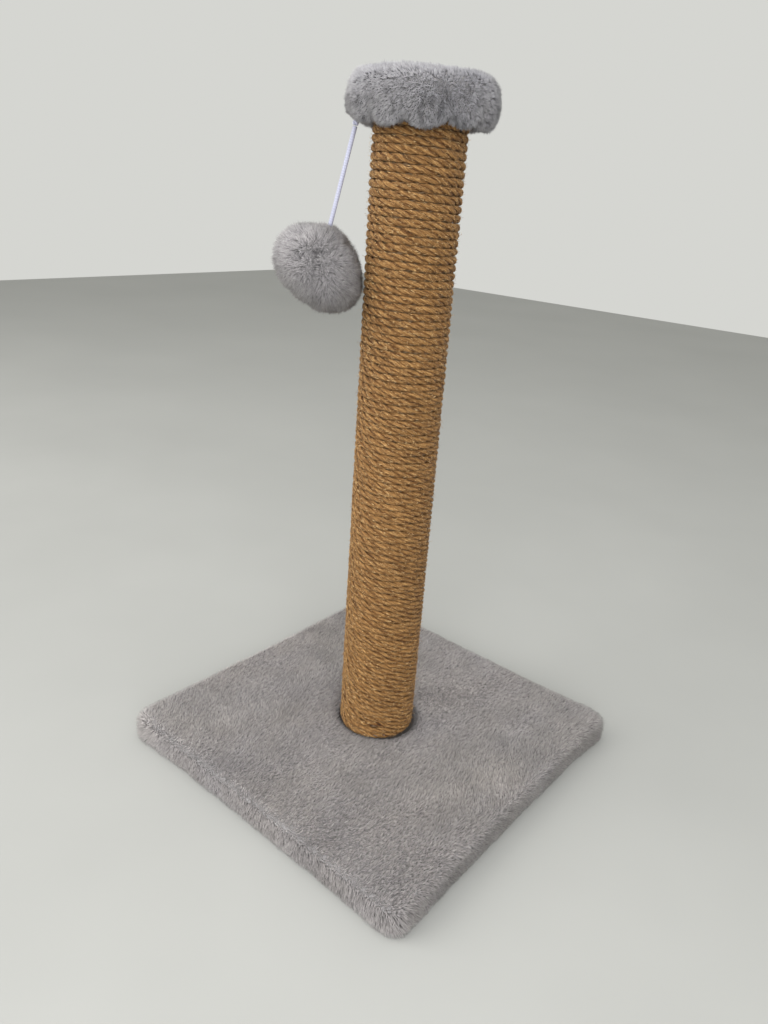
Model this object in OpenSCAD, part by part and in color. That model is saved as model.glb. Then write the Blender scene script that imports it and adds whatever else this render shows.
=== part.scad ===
// Cat scratching post: a plush-covered square base, a rope-wound post, a round
// plush cap and a plush ball that hangs from the cap on an elastic cord.
// The origin is on the floor at the middle of the base, and +Z is up.

/* [Base] */
// Width of the base over its plush
base_w = 300; // [240:5:360]
// Corner radius of the base over its plush
base_corner_r = 14; // [10:1:24]
// Thickness of the base board
board_t = 18; // [12:1:25]
// Plush on the board's sides, pile and backing together
base_side_skin = 5; // [3:0.5:7]
// Plush backing cloth on its own
backing_t = 1.2; // [0.8:0.1:2]
// Pile that stands on the backing
pile_t = 4.6; // [3:0.1:6]
// Width of the plush turned under the board
base_hem_w = 35; // [25:1:45]
// Thickness of a turned-under hem, with its pile pressed flat
hem_t = 1.6; // [1.2:0.1:2.4]
// Thickness of the lining sheet under the base
liner_t = 1; // [0.5:0.1:2]

/* [Post] */
// Diameter of the post over its rope
post_d = 64.4; // [56:0.2:80]
// Diameter of the rope, which is also the step from turn to turn
rope_d = 5.45; // [4:0.05:8]
// Number of rope turns
rope_turns = 88; // [40:1:100]
// Wall of the cardboard tube
tube_wall = 4; // [3:0.5:6]
// Bare tube left above the top turn
tube_above_rope = 2.4; // [1:0.1:5]
// Length of the wooden plug in each end of the tube
plug_len = 40; // [25:1:60]

/* [Cap] */
// Diameter of the cap over its plush
cap_d = 100; // [84:1:130]
// Thickness of the cap's board
cap_board_t = 15; // [9:1:20]
// Thickness of the foam pad on the cap's board
cap_pad_t = 6; // [3:0.5:15]
// Rounding of the cap's top edge
cap_edge_r = 9; // [6:0.5:10]
// How far the cap's rim hangs below its board
cap_rim_drop = 5; // [4:0.5:8]

/* [Toy] */
// Compass angle of the toy, counted anticlockwise from +X
toy_angle = 222; // [0:1:359]
// Distance of the toy's staple from the post's axis
anchor_r = 42; // [38:0.5:44]
// Diameter of the plush ball
ball_d = 62.4; // [50:0.2:70]
// Diameter of the elastic cord
cord_d = 3.2; // [2:0.1:4]

/* [Hidden] */
$fn = 96;
eps = 0.05;
// Gap kept between pieces on different bodies
body_gap = 0.3;

// Base, from the floor up
base_hem_z = liner_t;
board_z = base_hem_z + hem_t;
board_top_z = board_z + board_t;
post_z = board_top_z + backing_t;
base_top_z = post_z + pile_t;
board_w = base_w - 2 * base_side_skin;
board_corner_r = base_corner_r - base_side_skin;
hem_opening_w = board_w - 2 * base_hem_w;
liner_w = hem_opening_w + 42;
liner_hole_r = 20;
seat_r = post_d / 2 + 1;
base_staples_per_side = 6;

// Bolt that holds the post, M8
bolt_r = 4;
bolt_hole_r = 4.5;
bolt_len = 55;
bolt_head_h = 5.3;
bolt_head_across_corners = 15;
washer_r = 12;
washer_t = 1.6;
bolt_recess_r = 14;
bolt_recess_depth = 9;
bolt_seat_z = board_z + bolt_recess_depth;
tee_flange_r = 9.5;
tee_flange_t = 1.5;
tee_barrel_r = 5;
tee_barrel_len = 9;
tee_prong_len = 6;

// Post
tube_r = post_d / 2 - rope_d;
tube_bore_r = tube_r - tube_wall;
rope_len = rope_turns * rope_d;
tube_len = rope_len + tube_above_rope;
post_top_z = post_z + tube_len;
plug_r = tube_bore_r - eps;
nail_r = 0.8;
nail_len = 18;
nail_head_r = 2;
nail_head_t = 0.8;
// Depth of the nail heads below the tube's surface
nail_set = 0.2;
nail_inset = 14;
nails_per_plug = 4;

// Cap
cap_r = cap_d / 2;
cap_skin = 5;
cap_board_r = cap_r - cap_skin;
cap_board_top_z = post_top_z + cap_board_t;
cap_pad_top_z = cap_board_top_z + cap_pad_t;
cap_top_z = cap_pad_top_z + cap_skin;
cap_rim_z = post_top_z - cap_rim_drop;
cap_rim_inner_r = cap_board_r - 0.4;
cap_rim_round = 2.6;
cap_hem_inner_r = 35.5;
// Gap in the rim and hem where the toy's cord swings out
cap_notch_w = 14;
cap_staple_r = 40;
cap_staple_count = 8;
screw_offset = 12;
screw_len = 38;
screw_r = 2;
screw_head_r = 4;
screw_tip_len = 6;

// Staples
staple_wire = 0.6;
staple_width = 10;
staple_leg = 9;
hook_wire_r = 0.6;
hook_leg_in_board = 8;

// Toy: everything below the staple lies on one slanted line, counted from the staple's crown
loop_wire_r = 1;
loop_r = hook_wire_r + loop_wire_r + 0.1;
anchor_z = post_top_z - loop_r - loop_wire_r - 0.2;
top_knot_r = 2;
top_knot_s = 3.9;
// Distances of the cord's rings below the staple's crown
cord_route = [6, 14, 22, 30, 38, 46, 54, 62, 70, 80];
cord_sides = 8;
ball_knot_r = 3.5;
ball_knot_s = cord_route[len(cord_route) - 1] + 0.1 + ball_knot_r;
knot_depth = 15;
ball_r = ball_d / 2;
ball_s = ball_knot_s + knot_depth;
ball_skin = 4.2;
ball_axis_r = post_d / 2 + body_gap + ball_r;
// Lean of the cord away from the post, because the ball rests against the rope
cord_tilt = asin((ball_axis_r - anchor_r) / ball_s);
cord_channel_r = cord_d / 2 + 0.4;
tie_ring_r = 4.2;
tie_wire_r = 0.7;
mouth_r = 3;
// Direction of the ball's gathered mouth, in the toy's own frame
mouth_side = 83;
mouth_lift = 25;

plush_grey = [0.58, 0.57, 0.59];
jute = [0.66, 0.49, 0.30];
wood_tan = [0.78, 0.66, 0.48];
card_brown = [0.70, 0.57, 0.42];
steel = [0.72, 0.73, 0.75];
lining_black = [0.16, 0.16, 0.17];
foam_white = [0.93, 0.92, 0.88];
cord_white = [0.86, 0.86, 0.93];

// A square with arcs at its corners
module rounded_square(w, r) {
    square([w, w - 2 * r], center = true);
    square([w - 2 * r, w], center = true);
    for (x = [-1, 1], y = [-1, 1])
        translate([x * (w / 2 - r), y * (w / 2 - r)])
            circle(r = r);
}

// A flat slab with a rounded outline, from one height to another
module slab(w, r, z_low, z_high) {
    translate([0, 0, z_low])
        linear_extrude(height = z_high - z_low)
            rounded_square(w, r);
}

module drilled(r, z_low, z_high) {
    translate([0, 0, z_low])
        cylinder(r = r, h = z_high - z_low);
}

// A flat-wire staple with its crown's underside at height 0 and its legs upwards
module staple() {
    translate([-staple_width / 2, -staple_wire, 0])
        cube([staple_width, 2 * staple_wire, staple_wire]);
    for (x = [-staple_width / 2, staple_width / 2 - staple_wire])
        translate([x, -staple_wire, 0])
            cube([staple_wire, 2 * staple_wire, staple_leg]);
}

// The toy's own frame: origin at the staple's crown, X away from the post, cord along -Z
module on_toy_line() {
    rotate([0, 0, toy_angle])
        translate([anchor_r, 0, anchor_z])
            rotate([0, -cord_tilt, 0])
                children();
}

module at_ball() {
    on_toy_line()
        translate([0, 0, -ball_s])
            children();
}

module at_ball_mouth() {
    at_ball()
        rotate([0, 0, mouth_side])
            rotate([0, 90 - mouth_lift, 0])
                children();
}

module base_liner() {
    color(lining_black)
        difference() {
            slab(liner_w, board_corner_r, 0, liner_t);
            drilled(liner_hole_r, -1, liner_t + 1);
        }
}

module base_board() {
    color(wood_tan)
        difference() {
            slab(board_w, board_corner_r, board_z, board_top_z);
            drilled(bolt_hole_r, board_z - 1, board_top_z + 1);
            drilled(bolt_recess_r, board_z - 1, bolt_seat_z);
        }
}

// Plush over the top and sides and turned under, pressed flat where the post stands
module base_cover() {
    color(plush_grey)
        difference() {
            slab(base_w, base_corner_r, base_hem_z, base_top_z);
            slab(board_w, board_corner_r, board_z, board_top_z);
            slab(hem_opening_w, board_corner_r, base_hem_z - 1, board_z + eps);
            drilled(seat_r, post_z, base_top_z + 1);
            drilled(bolt_hole_r, board_top_z - 1, post_z + 1);
        }
}

module base_staples() {
    across = board_w / 2 - base_hem_w / 2;
    step = (board_w - base_hem_w) / base_staples_per_side;
    color(steel)
        for (side = [0:3], i = [0:base_staples_per_side - 1])
            rotate([0, 0, 90 * side])
                translate([(i - (base_staples_per_side - 1) / 2) * step, across, base_hem_z])
                    staple();
}

module base_bolt() {
    color(steel)
        translate([0, 0, bolt_seat_z - washer_t]) {
            translate([0, 0, -bolt_head_h])
                cylinder(d = bolt_head_across_corners, h = bolt_head_h, $fn = 6);
            cylinder(r = bolt_r, h = bolt_len);
        }
}

module base_washer() {
    color(steel)
        difference() {
            drilled(washer_r, bolt_seat_z - washer_t, bolt_seat_z);
            drilled(bolt_hole_r, bolt_seat_z - washer_t - 1, bolt_seat_z + 1);
        }
}

module post_tube() {
    color(card_brown)
        difference() {
            drilled(tube_r, post_z, post_top_z);
            drilled(tube_bore_r, post_z - 1, post_top_z + 1);
        }
}

module bottom_plug() {
    plug_top_z = post_z + plug_len;
    color(wood_tan)
        difference() {
            drilled(plug_r, post_z, plug_top_z);
            drilled(bolt_hole_r, post_z - 1, plug_top_z + 1);
            drilled(tee_barrel_r + eps, plug_top_z - tee_barrel_len - eps, plug_top_z + 1);
        }
}

module bottom_tee_nut() {
    plug_top_z = post_z + plug_len;
    color(steel)
        difference() {
            union() {
                drilled(tee_flange_r, plug_top_z, plug_top_z + tee_flange_t);
                drilled(tee_barrel_r, plug_top_z - tee_barrel_len, plug_top_z + eps);
                for (a = [0:90:270])
                    rotate([0, 0, a])
                        translate([tee_flange_r - 2, -1, plug_top_z - tee_prong_len])
                            cube([1.2, 2, tee_prong_len + eps]);
            }
            drilled(bolt_r + eps, plug_top_z - tee_barrel_len - 1, plug_top_z + tee_flange_t + 1);
        }
}

module top_plug() {
    color(wood_tan)
        difference() {
            drilled(plug_r, post_top_z - plug_len, post_top_z);
            for (x = [-screw_offset, screw_offset])
                translate([x, 0, cap_board_top_z - screw_len])
                    drilled(screw_r + eps, -eps, screw_len);
        }
}

module plug_nails() {
    color(steel)
        for (z = [post_z + nail_inset, post_top_z - nail_inset], i = [0:nails_per_plug - 1])
            translate([0, 0, z])
                rotate([0, 0, (i + 0.5) * 360 / nails_per_plug])
                    translate([tube_r - nail_set - nail_len, 0, 0])
                        rotate([0, 90, 0]) {
                            cylinder(r = nail_r, h = nail_len, $fn = 24);
                            translate([0, 0, nail_len - nail_head_t])
                                cylinder(r = nail_head_r, h = nail_head_t, $fn = 24);
                        }
}

// The wound rope as one ribbed sleeve, a rib for each turn
module rope_winding() {
    rib_r = rope_d / 2 + 0.1;
    color(jute)
        rotate_extrude()
            difference() {
                union() {
                    translate([tube_r, post_z])
                        square([rope_d / 2, rope_len]);
                    for (i = [0:rope_turns - 1])
                        translate([post_d / 2 - rib_r, post_z + (i + 0.5) * rope_d])
                            circle(r = rib_r, $fn = 32);
                }
                translate([0, 0])
                    square([tube_r, post_top_z]);
                translate([0, post_z - rope_d])
                    square([post_d, rope_d]);
                translate([0, post_z + rope_len])
                    square([post_d, rope_d]);
            }
}

// One staple through each end of the rope
module rope_staples() {
    crown_r = post_d / 2 - 1;
    color(steel)
        for (end = [[post_z + rope_d / 2, -45], [post_z + rope_len - rope_d / 2, 135]])
            rotate([0, 0, end[1]])
                translate([crown_r, 0, end[0]])
                    rotate([0, -90, 0])
                        rotate([0, 0, 90])
                            staple();
}

module cap_board() {
    color(wood_tan)
        difference() {
            drilled(cap_board_r, post_top_z, cap_board_top_z);
            for (x = [-screw_offset, screw_offset])
                translate([x, 0, cap_board_top_z]) {
                    translate([0, 0, -cap_board_t - 1])
                        cylinder(r = screw_r + eps, h = cap_board_t + 2);
                    translate([0, 0, -screw_head_r + screw_r])
                        cylinder(r1 = screw_r + eps, r2 = screw_head_r + eps, h = screw_head_r - screw_r + eps);
                }
        }
}

// Countersunk wood screws, heads level with the board's top
module cap_screws() {
    head_h = screw_head_r - screw_r;
    color(steel)
        for (x = [-screw_offset, screw_offset])
            translate([x, 0, cap_board_top_z]) {
                translate([0, 0, -head_h])
                    cylinder(r1 = screw_r, r2 = screw_head_r, h = head_h);
                translate([0, 0, -screw_len + screw_tip_len])
                    cylinder(r = screw_r, h = screw_len - screw_tip_len - head_h);
                translate([0, 0, -screw_len])
                    cylinder(r1 = 0.3, r2 = screw_r, h = screw_tip_len);
            }
}

module cap_pad() {
    color(foam_white)
        drilled(cap_board_r, cap_board_top_z, cap_pad_top_z);
}

// Plush over the top and side, a soft rim that hangs below the board, and a hem stapled under it,
// both left open where the toy's cord swings out
module cap_cover() {
    inner_r = cap_board_r + 0.2;
    color(plush_grey)
        difference() {
            rotate_extrude()
                difference() {
                    union() {
                        translate([0, cap_rim_z + cap_rim_round])
                            square([cap_r, cap_top_z - cap_edge_r - cap_rim_z - cap_rim_round]);
                        translate([0, cap_rim_z])
                            square([cap_r - cap_edge_r, cap_top_z - cap_rim_z]);
                        translate([cap_r - cap_edge_r, cap_top_z - cap_edge_r])
                            circle(r = cap_edge_r);
                        translate([cap_r - cap_rim_round, cap_rim_z + cap_rim_round])
                            circle(r = cap_rim_round);
                        translate([0, cap_rim_z])
                            square([cap_r - cap_rim_round, cap_rim_round * 2]);
                    }
                    translate([0, post_top_z])
                        square([inner_r, cap_pad_top_z - post_top_z]);
                    translate([0, cap_rim_z - 1])
                        square([cap_rim_inner_r, cap_rim_drop - hem_t + 1]);
                    translate([0, cap_rim_z - 1])
                        square([cap_hem_inner_r, cap_rim_drop + 1 + eps]);
                    translate([-cap_d, cap_rim_z - 1])
                        square([cap_d, cap_top_z]);
                }
            rotate([0, 0, toy_angle])
                translate([cap_hem_inner_r - 5, -cap_notch_w / 2, cap_rim_z - 1])
                    cube([cap_r - cap_hem_inner_r + 6, cap_notch_w, cap_rim_drop + 1 + eps]);
        }
}

module cap_staples() {
    color(steel)
        for (i = [0:cap_staple_count - 1])
            rotate([0, 0, toy_angle + (i + 0.5) * 360 / cap_staple_count])
                translate([cap_staple_r, 0, post_top_z - hem_t - staple_wire])
                    rotate([0, 0, 90])
                        staple();
}

// Round-wire staple whose crown stands clear of the board for the toy's loop
module toy_staple() {
    leg_len = post_top_z - anchor_z + hook_leg_in_board;
    color(steel)
        rotate([0, 0, toy_angle])
            translate([anchor_r, 0, anchor_z]) {
                rotate([90, 0, 0])
                    cylinder(r = hook_wire_r, h = staple_width, center = true, $fn = 24);
                for (y = [-staple_width / 2, staple_width / 2])
                    translate([0, y, 0]) {
                        sphere(r = hook_wire_r, $fn = 24);
                        cylinder(r = hook_wire_r, h = leg_len, $fn = 24);
                    }
            }
}

module toy_cord_loop() {
    color(cord_white)
        on_toy_line()
            rotate([90, 0, 0])
                rotate_extrude($fn = 48)
                    translate([loop_r, 0])
                        circle(r = loop_wire_r, $fn = 32);
}

module toy_cord_knot() {
    color(cord_white)
        on_toy_line()
            translate([0, 0, -top_knot_s])
                sphere(r = top_knot_r, $fn = 32);
}

// The elastic cord, one ring of points at each distance of its route
module toy_cord() {
    rings = len(cord_route);
    last = (rings - 1) * cord_sides;
    points = [
        for (s = cord_route, k = [0:cord_sides - 1])
            let (a = 360 * k / cord_sides)
            [cord_d / 2 * cos(a), cord_d / 2 * sin(a), -s]
    ];
    sides = [
        for (i = [0:rings - 2], k = [0:cord_sides - 1])
            let (n = (k + 1) % cord_sides, low = i * cord_sides, high = low + cord_sides)
            [low + k, low + n, high + n, high + k]
    ];
    top = [for (k = [cord_sides - 1:-1:0]) k];
    bottom = [for (k = [0:cord_sides - 1]) last + k];
    color(cord_white)
        on_toy_line()
            polyhedron(points = points, faces = concat([top], sides, [bottom]));
}

module ball_knot() {
    color(cord_white)
        on_toy_line()
            translate([0, 0, -ball_knot_s])
                sphere(r = ball_knot_r, $fn = 32);
}

module cord_channel() {
    translate([0, 0, knot_depth])
        cylinder(r = cord_channel_r, h = ball_r);
}

module ball_stuffing() {
    color(foam_white)
        at_ball()
            difference() {
                sphere(r = ball_r - ball_skin - eps);
                cord_channel();
                translate([0, 0, knot_depth])
                    sphere(r = ball_knot_r + body_gap);
            }
}

module ball_cover() {
    color(plush_grey)
        difference() {
            at_ball()
                difference() {
                    sphere(r = ball_r);
                    sphere(r = ball_r - ball_skin);
                    cord_channel();
                }
            at_ball_mouth()
                cylinder(r = mouth_r, h = ball_r + 1);
        }
}

// Thread that draws the ball's mouth shut
module ball_tie() {
    color(cord_white)
        at_ball_mouth()
            translate([0, 0, ball_r - ball_skin / 2])
                rotate_extrude($fn = 48)
                    translate([tie_ring_r, 0])
                        circle(r = tie_wire_r, $fn = 24);
}

base_liner();
base_board();
base_cover();
base_staples();
base_bolt();
base_washer();
post_tube();
bottom_plug();
bottom_tee_nut();
top_plug();
plug_nails();
rope_winding();
rope_staples();
cap_board();
cap_screws();
cap_pad();
cap_cover();
cap_staples();
toy_staple();
toy_cord_loop();
toy_cord_knot();
toy_cord();
ball_knot();
ball_stuffing();
ball_cover();
ball_tie();
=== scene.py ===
import math

import bpy
import numpy as np
from mathutils import Matrix, Vector, kdtree


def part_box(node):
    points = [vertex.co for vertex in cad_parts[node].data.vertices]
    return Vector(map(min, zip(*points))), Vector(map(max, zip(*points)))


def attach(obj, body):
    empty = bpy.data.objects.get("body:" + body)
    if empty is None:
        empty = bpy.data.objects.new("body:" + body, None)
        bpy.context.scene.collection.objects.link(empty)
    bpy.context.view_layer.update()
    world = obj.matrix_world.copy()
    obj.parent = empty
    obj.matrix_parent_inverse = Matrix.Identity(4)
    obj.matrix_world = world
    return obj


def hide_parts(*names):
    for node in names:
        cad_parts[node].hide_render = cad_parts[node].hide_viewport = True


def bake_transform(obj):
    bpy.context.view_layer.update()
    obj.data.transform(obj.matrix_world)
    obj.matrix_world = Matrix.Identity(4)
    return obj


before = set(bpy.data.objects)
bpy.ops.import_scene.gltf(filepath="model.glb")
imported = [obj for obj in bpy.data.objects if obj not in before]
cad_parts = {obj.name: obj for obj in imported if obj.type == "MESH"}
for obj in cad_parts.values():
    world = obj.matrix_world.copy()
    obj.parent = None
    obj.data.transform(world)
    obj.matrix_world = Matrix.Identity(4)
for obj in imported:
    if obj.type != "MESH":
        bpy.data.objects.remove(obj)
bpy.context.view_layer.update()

# Cat scratching post: plush base, rope-wound post, plush cap and a plush ball on an elastic cord.
# Everything is in metres. The base stands on z = 0 and the post runs up +Z.
mm = 0.001
TAU = 2 * math.pi

# ---------------------------------------------------------------- measures from the frame
base_low, base_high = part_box("base_cover")
base_half = base_high.x
base_top = base_high.z
base_hem_z = base_low.z
board_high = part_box("base_board")[1]
rope_low, rope_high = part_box("rope_winding")
cap_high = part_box("cap_cover")[1]
cap_board_low, cap_board_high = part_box("cap_board")
cap_r = cap_high.x
post_r = rope_high.x
tube_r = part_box("post_tube")[1].x
rope_d = post_r - tube_r
rope_turns = 88

# The toy's slanted line: a plane at toy_angle through the post's axis holds the staple, cord and ball
toy_angle = math.radians(222)
toy_out = Vector((math.cos(toy_angle), math.sin(toy_angle), 0))
toy_side = Vector((-math.sin(toy_angle), math.cos(toy_angle), 0))
staple_crown = Vector((-31.212, -28.1035, 500.9)) * mm
ball_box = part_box("ball_cover")
ball_centre = (ball_box[0] + ball_box[1]) / 2
ball_r = (ball_box[1].z - ball_box[0].z) / 2
cord_down = (ball_centre - staple_crown).normalized()
# Distances of the cord's rings below the staple's crown, as in the part
cord_route = [s * mm for s in (6, 14, 22, 30, 38, 46, 54, 62, 70, 80)]
cord_r = 1.6 * mm
top_knot_at = 3.9 * mm
ball_knot_at = 83.6 * mm


def along_cord(distance):
    """The point on the toy's line that far below the staple's crown."""
    return staple_crown + cord_down * distance


# ---------------------------------------------------------------- camera
def add_camera():
    """Stands in front of one corner of the base at cap height, looks down 23 degrees and leans 4."""
    place = Vector((0.3533, -0.4448, 0.459))
    heading, pitch, roll = math.radians(129.07), math.radians(22.78), math.radians(4.11)
    flat = math.cos(pitch)
    ahead = Vector((math.cos(heading) * flat, math.sin(heading) * flat, -math.sin(pitch)))
    level = ahead.cross(Vector((0, 0, 1))).normalized()
    below = ahead.cross(level)
    right = level * math.cos(roll) - below * math.sin(roll)
    down = level * math.sin(roll) + below * math.cos(roll)
    camera = bpy.data.objects.new("camera", bpy.data.cameras.new("camera"))
    camera.data.lens = 27.07
    camera.matrix_world = Matrix((right, -down, -ahead)).transposed().to_4x4()
    camera.matrix_world.translation = place
    bpy.context.scene.collection.objects.link(camera)
    bpy.context.scene.camera = camera


# ---------------------------------------------------------------- shared shape helpers
def ripple(points, size, seed):
    """A smooth random field, mostly between -1 and 1, whose lumps are about size across."""
    rng = np.random.default_rng(seed)
    waves = rng.normal(size=(3, 24))
    waves *= TAU / size / np.linalg.norm(waves, axis=0) * rng.uniform(0.6, 1.4, 24)
    return np.cos(np.asarray(points) @ waves + rng.uniform(0, TAU, 24)).sum(axis=1) / 6.9


def unit(vectors):
    """The vectors at length 1."""
    return vectors / np.maximum(np.linalg.norm(vectors, axis=-1, keepdims=True), 1e-12)


def new_piece(name, points, faces, material):
    """A smooth-shaded piece from points and faces, with its place in its mesh."""
    mesh = bpy.data.meshes.new(name)
    mesh.from_pydata(np.asarray(points).tolist(), [], [list(map(int, f)) for f in faces])
    mesh.polygons.foreach_set("use_smooth", [True] * len(mesh.polygons))
    mesh.materials.append(material)
    piece = bpy.data.objects.new(name, mesh)
    bpy.context.scene.collection.objects.link(piece)
    return piece


def loft_faces(rings, around):
    """Quads between successive rings of points that each go once round."""
    i = np.arange(rings - 1)[:, None] * around
    k = np.arange(around)[None, :]
    n = (k + 1) % around
    return np.stack([i + k, i + n, i + around + n, i + around + k], -1).reshape(-1, 4)


def fan(pole, first, around, flip=False):
    """Triangles that close a ring of points, the first of which is given, onto a pole."""
    pairs = [(first + k, first + (k + 1) % around) for k in range(around)]
    return [[pole, b, a] if flip else [pole, a, b] for a, b in pairs]


def turned_from(angle, middle):
    """How far an angle is from another one, from -pi to pi."""
    return np.angle(np.exp(1j * (angle - middle)))


def run_along(path):
    """The distance along a path at each of its points."""
    return np.concatenate([[0], np.cumsum(np.linalg.norm(np.diff(path, axis=0), axis=1))])


def map_along(mesh, run, sides, girth, start=0.0):
    """A UV map, in metres, for rings of points along a line: U along it and V round it."""
    corners = np.zeros(len(mesh.loops), int)
    mesh.loops.foreach_get("vertex_index", corners)
    ring = np.minimum(corners // sides, len(run) - 1)
    uv = np.stack([run[ring] + start, corners % sides / sides * girth], -1)
    wrapped = uv[:(len(run) - 1) * sides * 4].reshape(-1, 4, 2)
    over = wrapped[..., 1].max(axis=1) - wrapped[..., 1].min(axis=1) > girth / 2
    wrapped[over] += np.where(wrapped[over][..., 1:] < girth / 2, [0, girth], [0, 0])
    mesh.uv_layers.new(name="along").data.foreach_set("uv", uv.ravel())


def select_only(piece):
    """Makes one piece the only selected and active one."""
    bpy.ops.object.select_all(action="DESELECT")
    piece.select_set(True)
    bpy.context.view_layer.objects.active = piece


def thicken(piece, thickness):
    """Gives a cloth its thickness inwards, and applies it."""
    select_only(piece)
    solid = piece.modifiers.new("cloth", "SOLIDIFY")
    solid.thickness = thickness
    solid.offset = -1
    solid.use_even_offset = False
    bpy.ops.object.modifier_apply(modifier=solid.name)


def face_out(piece):
    """Turns a closed piece's faces outwards."""
    select_only(piece)
    bpy.ops.object.mode_set(mode="EDIT")
    bpy.ops.mesh.select_all(action="SELECT")
    bpy.ops.mesh.normals_make_consistent(inside=False)
    bpy.ops.object.mode_set(mode="OBJECT")


def tube(name, path, radius, material, sides=8, twist=0.0, lobes=0.0, lobe_count=3):
    """A closed tube along a path of points, with its own UV map."""
    path = np.asarray(path, float)
    ahead = unit(np.gradient(path, axis=0))
    first = np.cross(ahead[0], [0.3, 0.5, 0.81])
    across = [first / np.linalg.norm(first)]
    for direction in ahead[1:]:
        step = across[-1] - direction * (across[-1] @ direction)
        across.append(step / np.linalg.norm(step))
    across = np.array(across)
    other = np.cross(ahead, across)
    run = run_along(path)
    turn = np.arange(sides) * TAU / sides
    angle = turn[None, :] + (twist * run)[:, None]
    size = np.broadcast_to(radius, len(path))[:, None] * (1 + lobes * np.cos(lobe_count * turn))[None, :]
    points = path[:, None] + size[..., None] * (
        np.cos(angle)[..., None] * across[:, None] + np.sin(angle)[..., None] * other[:, None])
    points = np.concatenate([points.reshape(-1, 3), path[:1], path[-1:]])
    start, end = len(points) - 2, len(points) - 1
    faces = loft_faces(len(path), sides).tolist() + fan(start, 0, sides, flip=True)
    faces += fan(end, (len(path) - 1) * sides, sides)
    piece = new_piece(name, points, faces, material)
    map_along(piece.data, run, sides, TAU * float(np.mean(radius)))
    return piece


# How deep the tufts' roots sit in their cloth
sunk = 0.5 * mm


def scatter(points, faces, count, seed):
    """Roots spread evenly over quads, with the quads' smooth normals."""
    points, faces = np.asarray(points), np.asarray(faces)
    triangles = np.concatenate([faces[:, [0, 1, 2]], faces[:, [0, 2, 3]]], axis=1).reshape(-1, 3)
    a, b, c = (points[triangles[:, i]] for i in range(3))
    cross = np.cross(b - a, c - a)
    area = np.linalg.norm(cross, axis=1)
    normals = np.zeros_like(points)
    for i in range(3):
        np.add.at(normals, triangles[:, i], cross)
    normals = unit(normals)
    rng = np.random.default_rng(seed)
    share = (np.arange(count) + rng.random(count)) / count * area.sum()
    pick = np.minimum(np.searchsorted(np.cumsum(area), share), len(area) - 1)
    u, v = rng.random((2, count, 1))
    flip = u + v > 1
    u, v = np.where(flip, 1 - u, u), np.where(flip, 1 - v, v)
    first, second, third = triangles[pick].T

    def mixed(values):
        return values[first] * (1 - u - v) + values[second] * u + values[third] * v

    return mixed(points), unit(mixed(normals))


def along_cloth(lie, normals):
    """The given directions, laid flat along the cloth."""
    return unit(lie - normals * (lie * normals).sum(1)[:, None])


def tuft_tips(roots, normals, lie, length, lay_down):
    """Tips of tufts that lean from upright by the angle lay_down, the way that lie points."""
    upright, sideways = length * np.cos(lay_down), length * np.sin(lay_down)
    return roots + normals * upright[:, None] + lie * sideways[:, None]


def some_standing(length, lay_down, rng, share, longer):
    """Lets a share of the tufts stand up half-way, a little longer than the rest."""
    standing = rng.random(len(length)) < share
    return np.where(standing, length * longer, length), np.where(standing, lay_down * 0.5, lay_down)


def gather_tips(roots, tips, spacing_share, pull, seed):
    """Draws the tips of neighbouring tufts together, so that the pile stands in small clumps."""
    rng = np.random.default_rng(seed)
    middles = rng.choice(len(roots), max(1, int(len(roots) * spacing_share)), replace=False)
    tree = kdtree.KDTree(len(middles))
    for i, m in enumerate(middles):
        tree.insert(roots[m], i)
    tree.balance()
    nearest = middles[[tree.find(r)[1] for r in roots]]
    shift = tips[nearest] - tips
    return tips + shift * np.asarray(pull)[..., None]


def add_pile(name, roots, tips, width, tone_and_shade, material, bend=None):
    """Closed pointed tufts from roots to tips, with a bent waist if asked, and painted shade that darkens
    each tuft towards its root.
    """
    count = len(roots)
    rng = np.random.default_rng(len(name) * 97 + count)
    ahead = unit(tips - roots)
    across = unit(np.cross(ahead, rng.normal(size=(count, 3))))
    other = np.cross(ahead, across)
    width = np.broadcast_to(width, count)[:, None]
    thirds = (0, TAU / 3, 2 * TAU / 3)
    corner = [roots + width / 2 * (math.cos(a) * across + math.sin(a) * other) for a in thirds]
    if bend is None:
        points = np.stack([*corner, tips], 1)
        shape = np.array([[0, 2, 1], [0, 1, 3], [1, 2, 3], [2, 0, 3]])
        level = np.array([0.0, 0.0, 0.0, 1.0])
    else:
        middle = (roots + tips) / 2 + bend
        waist = [middle + (c - roots) * 0.8 for c in corner]
        points = np.stack([*corner, *waist, tips], 1)
        shape = np.array([[0, 2, 1], [0, 1, 4], [0, 4, 3], [1, 2, 5], [1, 5, 4], [2, 0, 3], [2, 3, 5],
                          [3, 4, 6], [4, 5, 6], [5, 3, 6]])
        level = np.array([0.0, 0.0, 0.0, 0.6, 0.6, 0.6, 1.0])
    size = len(level)
    faces = (shape[None] + (np.arange(count) * size)[:, None, None]).reshape(-1, 3)
    mesh = bpy.data.meshes.new(name)
    mesh.vertices.add(count * size)
    mesh.vertices.foreach_set("co", points.astype(np.float32).ravel())
    mesh.loops.add(len(faces) * 3)
    mesh.loops.foreach_set("vertex_index", faces.astype(np.int32).ravel())
    mesh.polygons.add(len(faces))
    mesh.polygons.foreach_set("loop_start", np.arange(len(faces), dtype=np.int32) * 3)
    mesh.update(calc_edges=True)
    mesh.validate()
    mesh.polygons.foreach_set("use_smooth", [True] * len(mesh.polygons))
    # painted shade: each tuft is darker towards its root
    root_shade = 0.45
    shade = (root_shade + (1 - root_shade) * level)[None, :] * np.asarray(tone_and_shade)[:, None]
    shade = shade.astype(np.float32).ravel()
    mesh.attributes.new("tone_and_shade", "FLOAT", "POINT").data.foreach_set("value", shade)
    mesh.materials.append(material)
    piece = bpy.data.objects.new(name, mesh)
    bpy.context.scene.collection.objects.link(piece)
    return piece


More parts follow.
